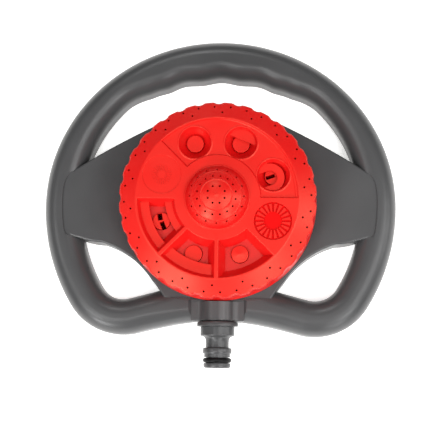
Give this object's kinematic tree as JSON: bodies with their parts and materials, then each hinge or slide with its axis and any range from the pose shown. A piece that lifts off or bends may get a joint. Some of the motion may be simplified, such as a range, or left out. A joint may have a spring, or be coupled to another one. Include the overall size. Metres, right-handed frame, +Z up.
{
  "type": "sprinkler",
  "caption": "Turret lawn sprinkler: wheel-shaped base with finger grips, turning spray dial with different nozzles, and a quick-connect hose inlet.",
  "frame": {"origin": "on the dial's axis, at the level of the ground", "axes": "+Z up along the dial's axis, hose connector points along -Y, +X to the right seen from above with the connector towards the viewer"},
  "size_m": [0.2104, 0.1974, 0.0565],
  "materials": {
    "grey_plastic": "satin moulded, very fine grain",
    "red_plastic": "satin moulded, fine spark-eroded texture",
    "black_plastic": "plain moulded",
    "white_plastic": "smooth acetal",
    "rubber": "matt",
    "steel": "plain stainless"
  },
  "bodies": {
    "base": {"base_frame": "grey_plastic", "hub_cover": "grey_plastic", "cover_screw_1": "steel", "cover_screw_2": "steel", "cover_screw_3": "steel", "cover_screw_4": "steel", "cover_screw_5": "steel", "cover_screw_6": "steel", "hose_connector": "grey_plastic", "connector_o_ring": "rubber", "connector_washer": "rubber", "inlet_duct": "black_plastic", "port_spring": "steel", "pivot_washer": "steel", "bearing_ring": "white_plastic", "detent_spring": "steel"},
    "port_seal": {"port_seal": "rubber"},
    "detent_pin": {"detent_pin": "white_plastic"},
    "dial": {"dial_shell": "red_plastic", "dial_seal": "rubber", "distributor_plate": "black_plastic", "pivot_screw": "steel", "dial_screw_1": "steel", "dial_screw_2": "steel", "dial_screw_3": "steel", "dial_screw_4": "steel", "mist_nozzle": "red_plastic", "half_circle_nozzle": "red_plastic", "full_circle_nozzle": "red_plastic", "twin_jet_nozzle": "red_plastic", "quarter_circle_nozzle": "red_plastic", "cone_nozzle": "red_plastic"}
  },
  "joints": [
    {"name": "dial_turn", "type": "hinge", "parent": "base", "child": "dial", "pos_m": [0, 0, 0.0214], "axis": [0, 0, 1], "continuous": true},
    {"name": "port_seal_slide", "type": "slide", "parent": "base", "child": "port_seal", "axis": [0, 0, 1], "range_m": [-0.0012, 0], "stiffness_N_per_m": 600, "springref_m": 0.002, "deforming": ["port_spring"]},
    {"name": "detent_pin_slide", "type": "slide", "parent": "base", "child": "detent_pin", "axis": [0, 0, 1], "range_m": [-0.0015, 0], "stiffness_N_per_m": 900, "springref_m": 0.002, "deforming": ["detent_spring"]}
  ]
}
